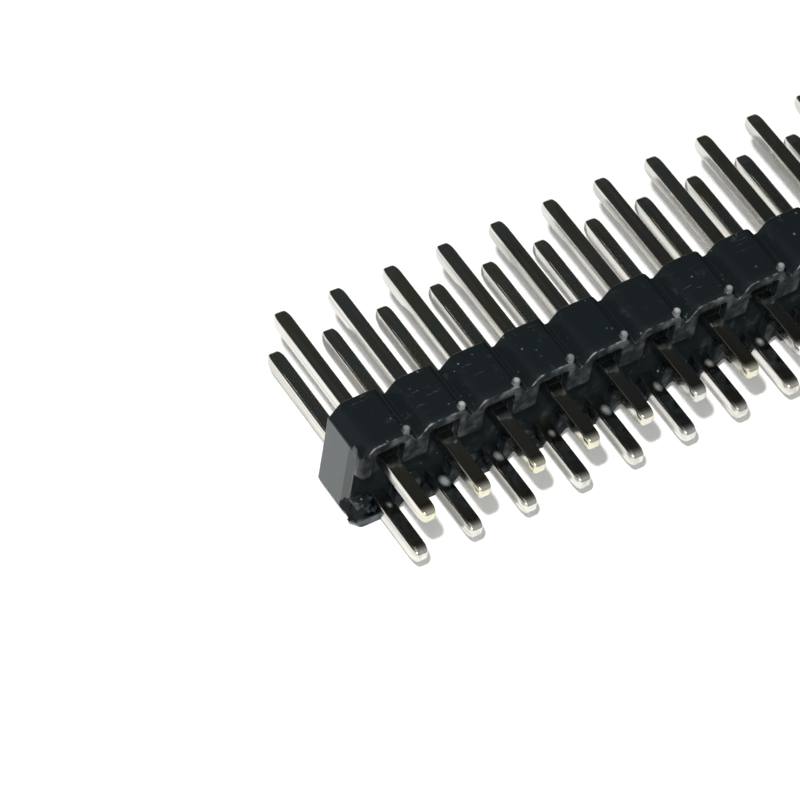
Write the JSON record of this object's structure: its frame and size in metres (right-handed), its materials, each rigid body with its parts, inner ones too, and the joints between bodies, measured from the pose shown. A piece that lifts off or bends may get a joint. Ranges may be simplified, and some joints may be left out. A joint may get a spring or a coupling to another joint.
{
  "type": "pin header strip",
  "caption": "Break-away strip of square metal pins in parallel rows, held in a black scalloped plastic housing, for joining boards and sockets.",
  "frame": {"origin": "on the surface the strip lies on, under the middle of its box", "axes": "+X along the strip, +Y along the pins towards their long mating ends, +Z across the two rows"},
  "size_m": [0.0508, 0.0112, 0.0053],
  "materials": {
    "housing": "satin moulded black thermoplastic",
    "pin": "bright plated square brass wire, faintly drawn along its length"
  },
  "bodies": {
    "root": {"housing": "housing", "pin_lower_01": "pin", "pin_lower_02": "pin", "pin_lower_03": "pin", "pin_lower_04": "pin", "pin_lower_05": "pin", "pin_lower_06": "pin", "pin_lower_07": "pin", "pin_lower_08": "pin", "pin_lower_09": "pin", "pin_lower_10": "pin", "pin_lower_11": "pin", "pin_lower_12": "pin", "pin_lower_13": "pin", "pin_lower_14": "pin", "pin_lower_15": "pin", "pin_lower_16": "pin", "pin_lower_17": "pin", "pin_lower_18": "pin", "pin_lower_19": "pin", "pin_lower_20": "pin", "pin_upper_01": "pin", "pin_upper_02": "pin", "pin_upper_03": "pin", "pin_upper_04": "pin", "pin_upper_05": "pin", "pin_upper_06": "pin", "pin_upper_07": "pin", "pin_upper_08": "pin", "pin_upper_09": "pin", "pin_upper_10": "pin", "pin_upper_11": "pin", "pin_upper_12": "pin", "pin_upper_13": "pin", "pin_upper_14": "pin", "pin_upper_15": "pin", "pin_upper_16": "pin", "pin_upper_17": "pin", "pin_upper_18": "pin", "pin_upper_19": "pin", "pin_upper_20": "pin"}
  },
  "joints": []
}
